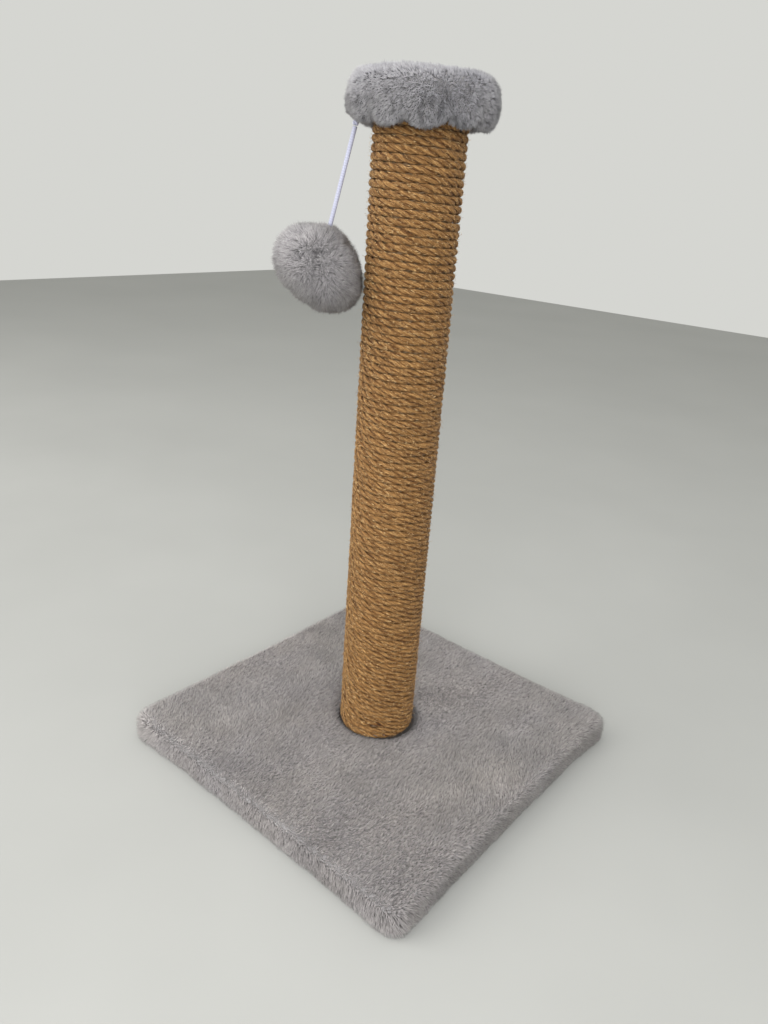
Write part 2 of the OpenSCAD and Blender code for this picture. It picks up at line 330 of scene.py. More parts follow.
# ---------------------------------------------------------------- materials
class Finish:
    """A Principled material with short calls for the nodes that its maker adds."""

    def __init__(self, name, roughness=0.8, metallic=0.0, sheen=0.0, specular=0.5):
        self.material = bpy.data.materials.new(name)
        self.material.use_nodes = True
        self.tree = self.material.node_tree
        self.shader = self.tree.nodes["Principled BSDF"]
        self.shader.inputs["Roughness"].default_value = roughness
        self.shader.inputs["Metallic"].default_value = metallic
        self.shader.inputs["Sheen Weight"].default_value = sheen
        self.shader.inputs["Sheen Roughness"].default_value = 0.45
        self.shader.inputs["Specular IOR Level"].default_value = specular
        self.coordinates = self.tree.nodes.new("ShaderNodeTexCoord")

    def link(self, output, node, socket):
        self.tree.links.new(output, node.inputs[socket])

    def placed(self, scale=(1, 1, 1), turn=(0, 0, 0), source="Object"):
        node = self.tree.nodes.new("ShaderNodeMapping")
        node.inputs["Scale"].default_value = scale
        node.inputs["Rotation"].default_value = turn
        self.link(self.coordinates.outputs[source], node, "Vector")
        return node.outputs["Vector"]

    def noise(self, scale, detail=4.0, place=None, rough=0.6, distortion=0.0):
        node = self.tree.nodes.new("ShaderNodeTexNoise")
        node.inputs["Scale"].default_value = scale
        node.inputs["Detail"].default_value = detail
        node.inputs["Roughness"].default_value = rough
        node.inputs["Distortion"].default_value = distortion
        self.link(place or self.coordinates.outputs["Object"], node, "Vector")
        return node.outputs["Fac"]

    def cells(self, scale, place=None, output="Distance"):
        node = self.tree.nodes.new("ShaderNodeTexVoronoi")
        node.inputs["Scale"].default_value = scale
        self.link(place or self.coordinates.outputs["Object"], node, "Vector")
        return node.outputs[output]

    def wave(self, scale, place=None, distortion=0.0, direction="X"):
        node = self.tree.nodes.new("ShaderNodeTexWave")
        node.bands_direction = direction
        node.inputs["Scale"].default_value = scale
        node.inputs["Distortion"].default_value = distortion
        self.link(place or self.coordinates.outputs["Object"], node, "Vector")
        return node.outputs["Fac"]

    def from_post(self, reach):
        """How far a point is from the post's surface, as a share of the given reach."""
        node = self.tree.nodes.new("ShaderNodeVectorMath")
        node.operation = "LENGTH"
        self.tree.links.new(self.placed((1, 1, 0)), node.inputs[0])
        away = self.math("SUBTRACT", node.outputs["Value"], post_r)
        return self.math("DIVIDE", away, reach)

    def attribute(self, name):
        node = self.tree.nodes.new("ShaderNodeAttribute")
        node.attribute_name = name
        return node.outputs["Fac"]

    def ramp(self, value, *stops):
        """Colours by value: each stop is (position, colour)."""
        node = self.tree.nodes.new("ShaderNodeValToRGB")
        band = node.color_ramp.elements
        band[0].position, band[0].color = stops[0][0], (*stops[0][1], 1)
        band[1].position, band[1].color = stops[-1][0], (*stops[-1][1], 1)
        for position, colour in stops[1:-1]:
            band.new(position).color = (*colour, 1)
        self.link(value, node, "Fac")
        return node.outputs["Color"]

    def math(self, operation, a, b):
        node = self.tree.nodes.new("ShaderNodeMath")
        node.operation = operation
        for socket, value in ((0, a), (1, b)):
            if isinstance(value, (int, float)):
                node.inputs[socket].default_value = value
            else:
                self.tree.links.new(value, node.inputs[socket])
        return node.outputs["Value"]

    def blend(self, kind, amount, a, b):
        node = self.tree.nodes.new("ShaderNodeMix")
        node.data_type = "RGBA"
        node.blend_type = kind
        node.inputs["Factor"].default_value = amount
        self.tree.links.new(a, node.inputs["A"])
        self.tree.links.new(b, node.inputs["B"])
        return node.outputs["Result"]

    def spread(self, value, low, high):
        node = self.tree.nodes.new("ShaderNodeMapRange")
        node.inputs["To Min"].default_value = low
        node.inputs["To Max"].default_value = high
        self.link(value, node, "Value")
        return node.outputs["Result"]

    def finish(self, colour, height=None, bump=0.3, depth=0.2 * mm, rough=None):
        self.link(colour, self.shader, "Base Color")
        if height is not None:
            node = self.tree.nodes.new("ShaderNodeBump")
            node.inputs["Strength"].default_value = bump
            node.inputs["Distance"].default_value = depth
            self.link(height, node, "Height")
            self.link(node.outputs["Normal"], self.shader, "Normal")
        if rough is not None:
            self.link(rough, self.shader, "Roughness")
        return self.material


def plush_pile_finish(name, dark, light):
    """Soft grey pile: painted shade at the roots, with brushed patches and faint warm and cool areas."""
    f = Finish(name, roughness=0.9, sheen=0.1, specular=0.2)
    body = f.ramp(f.attribute("tone_and_shade"), (0.3, dark), (1.0, light))
    patches = f.ramp(f.noise(14, 3), (0.3, (0.93, 0.935, 0.96)), (0.7, (1.0, 0.99, 0.975)))
    speck = f.ramp(f.noise(900, 2), (0.3, (0.84, 0.84, 0.84)), (0.7, (1, 1, 1)))
    colour = f.blend("MULTIPLY", 1.0, f.blend("MULTIPLY", 1.0, body, patches), speck)
    return f.finish(colour, f.noise(2400, 3), 0.4, 0.15 * mm, f.spread(f.noise(700, 2), 0.78, 0.98))


def plush_cloth_finish():
    """The knitted backing under the pile, hardly seen between the tufts."""
    f = Finish("plush_backing", roughness=0.95, sheen=0.2, specular=0.2)
    knit = f.wave(260, distortion=2.0)
    greys = f.ramp(f.noise(40, 4), (0.3, (0.26, 0.25, 0.25)), (0.7, (0.34, 0.33, 0.33)))
    colour = f.blend("MULTIPLY", 0.6, greys, f.ramp(knit, (0, (0.7, 0.7, 0.7)), (1, (1, 1, 1))))
    foot_shade = f.ramp(f.from_post(6 * mm), (0.2, (0.12, 0.10, 0.09)), (1.0, (1, 1, 1)))
    colour = f.blend("MULTIPLY", 1.0, colour, foot_shade)
    height = f.math("ADD", knit, f.noise(1500, 2))
    return f.finish(colour, height, 0.5, 0.3 * mm, f.spread(f.noise(300, 2), 0.85, 1.0))


def jute_finish():
    """Golden brown jute yarn: fibres along the strand, paler and darker lengths, and painted shade in the
    valleys.
    """
    f = Finish("jute_strand", roughness=0.75, sheen=0.04, specular=0.25)
    fibre = f.noise(1, 4, f.placed((230, 2300, 1), source="UV"), 0.62)
    long_tone = f.noise(1, 2, f.placed((45, 420, 1), source="UV"))
    body = f.ramp(fibre, (0.35, (0.10, 0.040, 0.010)), (0.46, (0.25, 0.125, 0.037)),
                  (0.55, (0.40, 0.212, 0.070)), (0.65, (0.68, 0.43, 0.175)))
    lengths = f.ramp(long_tone, (0.35, (0.70, 0.66, 0.62)), (0.65, (1, 1, 1)))
    # painted shade from the strands' attribute: dark in the valleys between strands and in the parting
    strand_shade = f.ramp(f.attribute("tone_and_shade"), (0.0, (0.03, 0.02, 0.015)), (0.3, (0.50, 0.40, 0.30)),
                     (0.8, (1, 1, 1)))
    patches = f.ramp(f.noise(24, 3), (0.3, (0.76, 0.75, 0.74)), (0.7, (0.88, 0.88, 0.89)))
    colour = f.blend("MULTIPLY", 1.0, f.blend("MULTIPLY", 1.0, body, lengths), patches)
    colour = f.blend("MULTIPLY", 1.0, colour, strand_shade)
    return f.finish(colour, fibre, 0.9, 0.6 * mm, f.spread(fibre, 0.9, 0.6))


def fuzz_finish():
    """Single jute fibres, some dark, some bleached."""
    f = Finish("jute_fuzz", roughness=0.7, sheen=0.05, specular=0.25)
    colour = f.ramp(f.noise(420, 2), (0.36, (0.13, 0.060, 0.018)), (0.5, (0.37, 0.202, 0.071)),
                    (0.62, (0.76, 0.53, 0.26)))
    return f.finish(colour, f.noise(3000, 2), 0.3, 0.1 * mm, f.spread(f.noise(500, 2), 0.6, 0.8))


def elastic_finish():
    """Braided elastic, white with a touch of lavender."""
    f = Finish("braided_elastic", roughness=0.55, sheen=0.3, specular=0.4)
    left = f.wave(1, f.placed((190, 330, 1), source="UV"))
    right = f.wave(1, f.placed((190, -330, 1), source="UV"))
    braid = f.math("MAXIMUM", left, right)
    yarn = f.ramp(braid, (0, (0.36, 0.37, 0.47)), (0.8, (0.42, 0.43, 0.53)))
    soiling = f.ramp(f.noise(220, 3), (0.3, (0.86, 0.86, 0.9)), (0.7, (1, 1, 1)))
    colour = f.blend("MULTIPLY", 0.6, yarn, soiling)
    return f.finish(colour, braid, 0.15, 0.06 * mm, f.spread(f.noise(400, 2), 0.45, 0.68))


def thread_finish():
    """Plied grey sewing thread."""
    f = Finish("grey_thread", roughness=0.7, sheen=0.2, specular=0.3)
    ply = f.wave(1, f.placed((900, 700, 1), source="UV"))
    colour = f.ramp(ply, (0, (0.10, 0.10, 0.105)), (1, (0.24, 0.235, 0.25)))
    return f.finish(colour, ply, 0.6, 0.1 * mm, f.spread(f.noise(500, 2), 0.6, 0.8))


def board_finish():
    """Raw particle board: pressed chips of several browns, with open pores on its edges."""
    f = Finish("raw_particle_board", roughness=0.8, specular=0.3)
    chips = f.cells(420, f.placed((1, 1, 2.6)), "Color")
    browns = f.ramp(f.noise(90, 6, rough=0.75), (0.3, (0.34, 0.22, 0.11)), (0.5, (0.52, 0.37, 0.20)),
                    (0.72, (0.70, 0.55, 0.35)))
    pressed = f.ramp(chips, (0.0, (0.62, 0.55, 0.45)), (1.0, (1, 1, 1)))
    colour = f.blend("MULTIPLY", 0.55, browns, pressed)
    return f.finish(colour, f.cells(600), 0.4, 0.25 * mm, f.spread(f.noise(250, 3), 0.7, 0.92))


def card_finish():
    """Spiral-wound card tube."""
    f = Finish("wound_card", roughness=0.85, specular=0.25)
    seam = f.wave(9, f.placed((1, 1, 1), (0.3, 0.0, 0.0)), 0.4, "Z")
    browns = f.ramp(f.noise(160, 5), (0.3, (0.30, 0.19, 0.10)), (0.7, (0.46, 0.32, 0.19)))
    seams = f.ramp(seam, (0.0, (0.6, 0.6, 0.6)), (0.12, (1, 1, 1)), (1.0, (1, 1, 1)))
    colour = f.blend("MULTIPLY", 0.5, browns, seams)
    return f.finish(colour, f.noise(900, 4), 0.35, 0.1 * mm, f.spread(f.noise(200, 3), 0.75, 0.95))


def steel_finish():
    """Zinc-plated steel with fine drawing marks and a few dull spots."""
    f = Finish("zinc_plate", roughness=0.35, metallic=1.0)
    marks = f.noise(1, 4, f.placed((1500, 1500, 120)))
    colour = f.ramp(f.noise(130, 4), (0.3, (0.50, 0.51, 0.53)), (0.7, (0.72, 0.73, 0.74)))
    return f.finish(colour, marks, 0.25, 0.05 * mm, f.spread(f.noise(260, 3), 0.25, 0.55))


def lining_finish():
    """Black non-woven sheet with its small welded dots."""
    f = Finish("nonwoven_lining", roughness=0.9, sheen=0.15, specular=0.25)
    dots = f.cells(330)
    blacks = f.ramp(f.noise(220, 5), (0.3, (0.018, 0.018, 0.02)), (0.7, (0.045, 0.045, 0.05)))
    colour = f.blend("MULTIPLY", 0.8, blacks, f.ramp(dots, (0.1, (0.5, 0.5, 0.5)), (0.4, (1, 1, 1))))
    return f.finish(colour, dots, 0.5, 0.2 * mm, f.spread(f.noise(300, 2), 0.8, 1.0))


def foam_finish():
    """Cream foam with open pores, painted darker inside them as shade."""
    f = Finish("open_cell_foam", roughness=0.95, specular=0.2)
    pores = f.cells(900)
    creams = f.ramp(f.noise(60, 3), (0.3, (0.70, 0.67, 0.56)), (0.7, (0.84, 0.82, 0.73)))
    # painted shade in the pores
    pore_shade = f.ramp(pores, (0.05, (0.55, 0.53, 0.47)), (0.4, (1, 1, 1)))
    colour = f.blend("MULTIPLY", 0.7, creams, pore_shade)
    return f.finish(colour, pores, 0.6, 0.3 * mm, f.spread(f.noise(400, 2), 0.85, 1.0))


def stuffing_finish():
    """White polyester fibre, matted."""
    f = Finish("polyester_fibre", roughness=0.9, sheen=0.4, specular=0.25)
    strands = f.noise(1, 6, f.placed((500, 500, 1800)), 0.75, 1.5)
    colour = f.ramp(strands, (0.3, (0.62, 0.62, 0.60)), (0.65, (0.9, 0.9, 0.88)))
    return f.finish(colour, strands, 0.7, 0.5 * mm, f.spread(f.noise(300, 2), 0.8, 1.0))


def floor_finish():
    """The plain pale floor, very faintly uneven."""
    f = Finish("pale_floor", roughness=0.7, specular=0.3)
    colour = f.ramp(f.noise(3, 3), (0.3, (0.36, 0.362, 0.348)), (0.7, (0.385, 0.387, 0.372)))
    return f.finish(colour, f.noise(40, 4), 0.1, 1 * mm, f.spread(f.noise(6, 2), 0.6, 0.75))


base_pile = plush_pile_finish("base_plush_pile", (0.16, 0.150, 0.148), (0.80, 0.748, 0.728))
cap_pile = plush_pile_finish("cap_plush_pile", (0.17, 0.167, 0.173), (0.70, 0.688, 0.706))
ball_pile = plush_pile_finish("ball_plush_pile", (0.11, 0.105, 0.108), (0.63, 0.605, 0.61))
plush_backing = plush_cloth_finish()
jute = jute_finish()
jute_hair = fuzz_finish()
elastic = elastic_finish()
thread = thread_finish()

add_camera()


# ---------------------------------------------------------------- the toy's cord
def add_cord():
    """The elastic from its upper knot to the knot in the ball."""
    start, end = cord_route[0], cord_route[-1]
    steps = 72
    path = [along_cord(start + (end - start) * i / steps) for i in range(steps + 1)]
    piece = tube("elastic_cord", path, cord_r, elastic, sides=16, twist=700.0, lobes=0.02, lobe_count=8)
    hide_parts("toy_cord")
    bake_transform(piece)


def knot_path(centre, size, steps=90):
    """An overhand knot drawn tight, as a small trefoil."""
    t = np.linspace(0, TAU, steps)
    wide, tall, deep = np.sin(t) + 2 * np.sin(2 * t), np.cos(t) - 2 * np.cos(2 * t), -1.4 * np.sin(3 * t)
    line = np.stack([wide, tall, deep], -1) / 3
    side, out = np.array(toy_side), np.array(toy_side.cross(cord_down))
    turned = line[:, :1] * side + line[:, 1:2] * out + line[:, 2:] * np.array(cord_down)
    return np.array(centre) + turned * size


def add_knots():
    """The loop round the staple with its knot, and the knot that the ball hangs on."""
    loop_t = np.linspace(0, TAU, 60)
    loop_r = 1.7 * mm
    out = np.array(toy_side.cross(cord_down))
    circle = np.array(staple_crown) + loop_r * (
        np.cos(loop_t)[:, None] * out + np.sin(loop_t)[:, None] * np.array(cord_down))
    loop = tube("elastic_loop", circle, 1.0 * mm, elastic, sides=12)
    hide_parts("toy_cord_loop")
    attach(loop, "cord_loop")
    top_line = knot_path(along_cord(top_knot_at), 1.35 * mm)
    top = tube("elastic_top_knot", top_line, 0.95 * mm, elastic, sides=12)
    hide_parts("toy_cord_knot")
    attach(top, "cord_loop")
    end_line = knot_path(along_cord(ball_knot_at), 2.3 * mm)
    end = tube("elastic_ball_knot", end_line, 1.5 * mm, elastic, sides=12)
    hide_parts("ball_knot")
    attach(end, "cord_end")


# ---------------------------------------------------------------- base plush
def square_ring(half, corner, count):
    """Points round a square with arc corners, evenly spaced, from +X and anticlockwise."""
    straight = 2 * (half - corner)
    arc = corner * math.pi / 2
    run = np.arange(count) / count * 4 * (straight + arc)
    side = (run // (straight + arc)).astype(int)
    left = run - side * (straight + arc)
    along = np.minimum(left, straight)
    bend = np.maximum(left - straight, 0) / max(corner, 1e-9)
    x = half - corner + corner * np.cos(bend)
    y = -half + corner + along + corner * np.sin(bend)
    turn = side * math.pi / 2
    return np.stack([x * np.cos(turn) - y * np.sin(turn), x * np.sin(turn) + y * np.cos(turn)], -1)


def base_skin():
    """The plush's backing: from under the post's foot over the top, sides and under edge to the hem."""
    around = 288
    backing_top = base_top - 3.2 * mm
    seat = tube_r
    half, corner, round_r = base_half - 2.0 * mm, 9.5 * mm, 4.5 * mm
    low = base_hem_z + 0.5 * mm
    angle = np.arange(around) / around * TAU - math.pi / 4
    outer = square_ring(half - round_r, corner, around)
    start = np.stack([np.cos(angle), np.sin(angle)], -1) * seat
    rings = []
    for t in np.linspace(0, 1, 44):
        rings.append((start * (1 - t) + outer * t, backing_top))
    for bend in np.linspace(0.12, 1, 8) * math.pi / 2:
        grow = round_r * math.sin(bend)
        rings.append((square_ring(half - round_r + grow, corner + grow * 0.5, around),
                      backing_top - round_r * (1 - math.cos(bend))))
    for z in np.linspace(backing_top - round_r, low + 3 * mm, 7)[1:]:
        rings.append((square_ring(half, corner + 3 * mm, around), z))
    # turned under, with a small lift where it leaves the edge, and flat over the hem
    for inset in (1.5, 5, 12, 20, 30, 38):
        rings.append((square_ring(half - inset * mm, corner, around), low + (0.8 * mm if inset < 3 else 0)))
    points = np.concatenate([np.column_stack([xy, np.full(around, z)]) for xy, z in rings])
    distance = np.hypot(points[:, 0], points[:, 1])
    above = np.clip((points[:, 2] - low) / (backing_top - low), 0, 1)
    # puffed corners, slightly drawn-in sides, and soft unevenness
    towards_corner = (np.abs(points[:, 0]) + np.abs(points[:, 1])) / (2 * base_half)
    corner_share = np.clip(towards_corner - 0.55, 0, 1) / 0.45
    edge = np.maximum(np.abs(points[:, 0]), np.abs(points[:, 1])) / base_half
    draw = 1 - 0.0065 * np.clip(edge, 0, 1) ** 6 * (1 - corner_share ** 0.7)
    points[:, :2] *= draw[:, None]
    swell = ripple(points, 110 * mm, 3) * 0.5 * mm + ripple(points, 40 * mm, 4) * 0.2 * mm
    dip = -1.3 * mm * np.exp(-(np.maximum(distance - post_r, 0) / (8 * mm)) ** 2)
    points[:, 2] += above ** 4 * (swell + dip) * (1 - np.clip(edge, 0, 1) ** 12)
    over_board = (above > 0.9) & (edge < 0.9)
    points[over_board, 2] = np.maximum(points[over_board, 2], board_high.z + 0.4 * mm)
    under_foot = distance < post_r
    points[under_foot, 2] = np.minimum(points[under_foot, 2], rope_low.z - 0.2 * mm)
    outwards = unit(np.column_stack([points[:, :2], np.zeros(len(points))]))
    uneven = 0.3 * mm + ripple(points, 50 * mm, 5) * 0.3 * mm
    points += outwards * (uneven * np.clip(edge * 6 - 5, 0, 1) * above)[:, None]
    return points, loft_faces(len(rings), around), around, len(rings)


def add_base():
    """The base's cloth and its pile."""
    points, faces, around, rings = base_skin()
    cover = new_piece("base_plush_cloth", points, faces, plush_backing)
    face_out(cover)
    thicken(cover, 1.2 * mm)
    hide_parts("base_cover")
    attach(cover, "post_and_base")
    hem_rings = 6
    with_pile = faces[:around * (rings - hem_rings)]
    roots, normals = scatter(points, with_pile, 144000, 11)
    if normals[np.argmax(roots[:, 2])][2] < 0:
        normals = -normals
    # the pile is trodden down beside the foot, most on its two far sides
    beside = 0.5 - 0.5 * np.cos(2 * (np.arctan2(roots[:, 1], roots[:, 0]) + math.radians(50)))
    gap_to_post = np.hypot(roots[:, 0], roots[:, 1]) - post_r
    clear = gap_to_post > (1.2 + 1.6 * beside) * mm
    roots, normals, beside, gap_to_post = roots[clear], normals[clear], beside[clear], gap_to_post[clear]
    rng = np.random.default_rng(12)
    count = len(roots)
    # the way the nap is brushed turns from place to place, with small swirls
    heading = 0.9 + 0.8 * ripple(roots, 170 * mm, 13) + 0.45 * ripple(roots, 34 * mm, 14)
    heading += 0.4 * ripple(roots, 9 * mm, 15)
    heading += rng.normal(0, 0.28, count)
    lie = np.stack([np.cos(heading), np.sin(heading), np.zeros(count)], -1)
    side = 1 - np.clip(normals[:, 2], 0, 1)
    lie[:, 2] -= 0.5 * side
    lie = along_cloth(lie, normals)
    length = (4.0 + 0.5 * ripple(roots, 22 * mm, 16) + rng.normal(0, 0.35, count)) * mm * (1 + 0.1 * side)
    lay_down = 0.78 + 0.09 * ripple(roots, 30 * mm, 17) + 0.08 * ripple(roots, 6 * mm, 24)
    lay_down += rng.normal(0, 0.1, count)
    length *= 1 - 0.2 * np.clip(np.exp(-gap_to_post / (5 * mm)), 0, 1)
    tips = tuft_tips(roots, normals, lie, length, lay_down)
    # the corners are brushed out, the +X +Y one most and the +X -Y one least
    corner = np.clip((np.abs(roots[:, 0]) + np.abs(roots[:, 1])) / (2 * base_half) - 0.8, 0, 1) / 0.2
    outwards = unit(roots * [1, 1, 0])
    reach = np.where(roots[:, 0] > 0, np.where(roots[:, 1] > 0, 6.0, 0.8), 3.8) * mm
    tips += outwards * (corner * reach * np.clip(1.2 - normals[:, 2], 0, 1))[:, None]
    tips += normals * (corner * 0.8 * mm)[:, None]
    tips = gather_tips(roots, tips, 0.16, 0.05 + 0.25 * rng.random(count), 18)
    tips[:, 2] = np.maximum(tips[:, 2], 0.4 * mm)
    tone_and_shade = 0.82 + 0.05 * ripple(roots, 45 * mm, 19) + 0.08 * ripple(roots, 4 * mm, 20)
    tone_and_shade += rng.normal(0, 0.11, count)
    # painted light and shade that follow the way the nap is brushed, and painted shade on the sides
    tone_and_shade += 0.05 * np.sin(heading - 0.6) - 0.09 * side
    # painted shade and light: the pile is darker towards the +X -Y corner and lighter towards the -X -Y one
    tone_and_shade -= 0.08 * np.clip((roots[:, 0] - roots[:, 1]) / (2 * base_half), 0, 1)
    tone_and_shade += 0.03 * np.clip(-(roots[:, 0] + roots[:, 1]) / (2 * base_half), 0, 1)
    # painted shade: the pile darkens close to the post's foot, most on its two far sides
    tone_and_shade *= 1 - (0.35 + 0.5 * beside) * np.exp(-(gap_to_post / (4.2 * mm)) ** 2)
    roots = roots - normals * sunk
    tuft_w = 0.85 * mm
    for i, part in enumerate(np.array_split(np.arange(count), 3)):
        pile = add_pile(f"base_plush_pile_{i + 1}", roots[part], tips[part], tuft_w, tone_and_shade[part], base_pile)
        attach(pile, "post_and_base")


# ---------------------------------------------------------------- base lining
def add_lining():
    """The thin sheet under the base, faintly puckered at its edge."""
    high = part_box("base_liner")[1]
    around = 192
    rings = []
    for size in (1.0, 0.985, 0.93, 0.75, 0.5, 0.3):
        rings.append(square_ring(high.x * size, 9 * mm * size, around))
    angle = np.arange(around) / around * TAU - math.pi / 4
    rings.append(np.stack([np.cos(angle), np.sin(angle)], -1) * 20 * mm)
    points = np.concatenate([np.column_stack([xy, np.full(around, high.z - 0.15 * mm)]) for xy in rings])
    reach = np.maximum(np.abs(points[:, 0]), np.abs(points[:, 1])) / high.x
    points[:, 2] += np.clip(reach, 0, 1) ** 8 * ripple(points, 14 * mm, 21) * 0.1 * mm
    sheet = new_piece("base_lining_sheet", points, loft_faces(len(rings), around), lining_finish())
    face_out(sheet)
    thicken(sheet, 0.7 * mm)
    base = min(v.co.z for v in sheet.data.vertices)
    for v in sheet.data.vertices:
        v.co.z -= base
    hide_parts("base_liner")
    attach(sheet, "post_and_base")


# ---------------------------------------------------------------- rope
# The small parting near the foot, where the rope's end is tucked in behind its turns
parting_angle = math.radians(307)
parting_rise = 13.4 * mm
parting_half_w, parting_half_h = 6 * mm, 1.8 * mm


def in_parting(points):
    """How deep in the parting, which is painted dark as shade, a point is: 1 in its middle, 0 outside it.
    """
    across = turned_from(np.arctan2(points[..., 1], points[..., 0]), parting_angle) * post_r
    upright = points[..., 2] - rope_low.z - parting_rise - 0.14 * across
    return np.exp(-((across / parting_half_w) ** 2 + (upright / parting_half_h) ** 2) ** 2)


def clear_of_parting(roots, tips):
    """True for the fibres that lie nowhere across the parting."""
    return in_parting(roots) + in_parting(tips) + in_parting((roots + tips) / 2) < 0.15


def rope_centre(turn):
    """The rope's middle after that many turns from the foot: it falls as it goes anticlockwise."""
    angle = math.radians(300) - TAU * turn
    z = rope_low.z + rope_d * (0.5 + turn)
    place = np.stack([np.cos(angle) * post_r, np.sin(angle) * post_r, z], -1)
    z = z + ripple(place, 30 * mm, 31) * 0.22 * mm + ripple(place * [1, 1, 3], 12 * mm, 32) * 0.12 * mm
    # the rope's end dives in behind the turns near the foot, which part round it
    facing = np.exp(-((turned_from(angle, parting_angle) / math.radians(11)) ** 2))
    past = turn - 1.4
    gap = np.where(past > 0, 1.6 * np.exp(-(past / 1.8) ** 2), -0.6 * np.exp(-(past / 0.9) ** 2))
    z = z + mm * facing * gap
    radius = post_r - rope_d / 2 + ripple(place, 18 * mm, 33) * 0.16 * mm
    # both ends thin out and lie level, so that the winding fills its length
    full = np.clip(np.minimum(1 + turn, rope_turns - turn), 0.06, 1)
    z = np.where(turn < 0, rope_low.z + rope_d / 2 * full, z)
    z = np.where(turn > rope_turns - 1, rope_high.z - rope_d / 2 * full, z)
    return angle, radius + rope_d / 2 * (1 - full) * 0.6, z, full


def add_rope():
    """The rope's three twisted strands, each one closed piece from foot to cap."""
    lay = 27 * mm
    length = TAU * (post_r - rope_d / 2) * (rope_turns + 1)
    steps = int(length / lay * 14)
    turn = np.linspace(-1, rope_turns, steps)
    angle, radius, z, full = rope_centre(turn)
    centre = np.stack([np.cos(angle) * radius, np.sin(angle) * radius, z], -1)
    out = np.stack([np.cos(angle), np.sin(angle), np.zeros(steps)], -1)
    ahead = unit(np.gradient(centre, axis=0))
    up = unit(np.cross(out, ahead))
    run = run_along(centre)
    sides = 8
    round_angle = np.arange(sides) * TAU / sides
    strand_r, off_middle = 1.52 * mm, 1.32 * mm
    tall = up * 1.03
    for strand in range(3):
        twist = strand * TAU / 3 - TAU * run / lay + 0.4 * ripple(centre, 20 * mm, 41 + strand)
        offset = off_middle * full * (1 + 0.09 * ripple(centre, 8 * mm, 44 + strand))
        radial = np.cos(twist)[:, None] * out + np.sin(twist)[:, None] * tall
        level = -np.sin(twist)[:, None] * out + np.cos(twist)[:, None] * tall
        thick = strand_r * full * (1 + 0.10 * ripple(centre, 9 * mm, 47 + strand))
        points = centre[:, None] + radial[:, None] * offset[:, None, None] + thick[:, None, None] * (
            np.cos(round_angle)[None, :, None] * radial[:, None]
            + np.sin(round_angle)[None, :, None] * level[:, None] * 1.1)
        tails = [centre[:1] + radial[:1] * offset[0], centre[-1:] + radial[-1:] * offset[-1]]
        points = np.concatenate([points.reshape(-1, 3), *tails])
        start, end = len(points) - 2, len(points) - 1
        faces = loft_faces(steps, sides)[:, ::-1].tolist() + fan(start, 0, sides)
        faces += fan(end, (steps - 1) * sides, sides, flip=True)
        piece = new_piece(f"rope_strand_{strand + 1}", points, faces, jute)
        map_along(piece.data, run, sides, TAU * 1.42 * mm, start=strand * 3.1)
        # painted shade: the side towards the post is dark, and so is the parting
        shade = np.tile(0.3 + 0.7 * np.clip(0.15 + np.cos(round_angle) * 1.2, 0, 1), steps)
        shade = np.concatenate([shade, [0.5, 0.5]]) * (1 - in_parting(points))
        piece.data.attributes.new("tone_and_shade", "FLOAT", "POINT").data.foreach_set("value", shade)
        face_out(piece)
        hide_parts("rope_winding")
        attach(piece, "post_and_base")


def rope_roots(count, seed, spread):
    """Random places on the rope's outward side: its directions there, and points on its surface."""
    rng = np.random.default_rng(seed)
    turn = rng.uniform(-0.3, rope_turns - 0.4, count)
    angle, radius, z, full = rope_centre(turn)
    lift = rng.uniform(-spread, spread, count)
    level = np.stack([np.cos(angle), np.sin(angle), np.zeros(count)], -1)
    ahead = np.stack([np.sin(angle), -np.cos(angle), np.full(count, 0.03)], -1)
    out = level * np.cos(lift)[:, None] + np.array([0, 0, 1.0]) * np.sin(lift)[:, None]
    over = np.cross(out, ahead)
    centre = np.stack([np.cos(angle) * radius, np.sin(angle) * radius, z], -1)
    return rng, out, ahead, over, centre + out * (rope_d / 2 * full)[:, None]


def add_rope_fuzz():
    """Loose fibres: short ones that lie along the strands, and fewer that stand off the rope."""
    count, fibre_w = 30000, 0.32 * mm
    rng, out, ahead, over, roots = rope_roots(count, 50, 1.05)
    along = ahead - 0.27 * over + 0.13 * out + rng.normal(0, 0.14, (count, 3))
    length = rng.uniform(2.0, 4.6, count) * mm
    roots = roots - out * (rng.uniform(0.1, 0.45, count) * mm)[:, None]
    tips = roots + unit(along) * length[:, None]
    far = np.hypot(tips[:, 0], tips[:, 1])
    tips[:, :2] *= (np.minimum(far, post_r + 0.35 * mm) / far)[:, None]
    keep = clear_of_parting(roots, tips)
    level = np.ones(keep.sum())
    fibres = add_pile("rope_surface_fibres", roots[keep], tips[keep], fibre_w, level, jute_hair)
    count, hair_w = 7000, 0.23 * mm
    rng, out, ahead, over, roots = rope_roots(count, 51, 0.9)
    length = rng.gamma(2.2, 1.0, count) * mm + 1.0 * mm
    sideways = ahead * rng.choice([-1, 1], (count, 1))
    along = unit(out * rng.uniform(0.15, 0.9, (count, 1)) + sideways + rng.normal(0, 0.35, (count, 3)))
    roots = roots - out * 0.35 * mm
    tips = roots + along * length[:, None]
    bend = rng.normal(0, 0.16, (count, 3)) * length[:, None]
    reach = np.hypot(tips[:, 0], tips[:, 1])
    keep = (reach > tube_r + 1 * mm) & (reach < post_r + 3.4 * mm) & (tips[:, 2] > base_top - 2 * mm)
    keep &= clear_of_parting(roots, tips)
    level = np.ones(keep.sum())
    loose = add_pile("rope_loose_fibres", roots[keep], tips[keep], hair_w, level, jute_hair, bend[keep])
    for piece in (fibres, loose):
        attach(piece, "post_and_base")


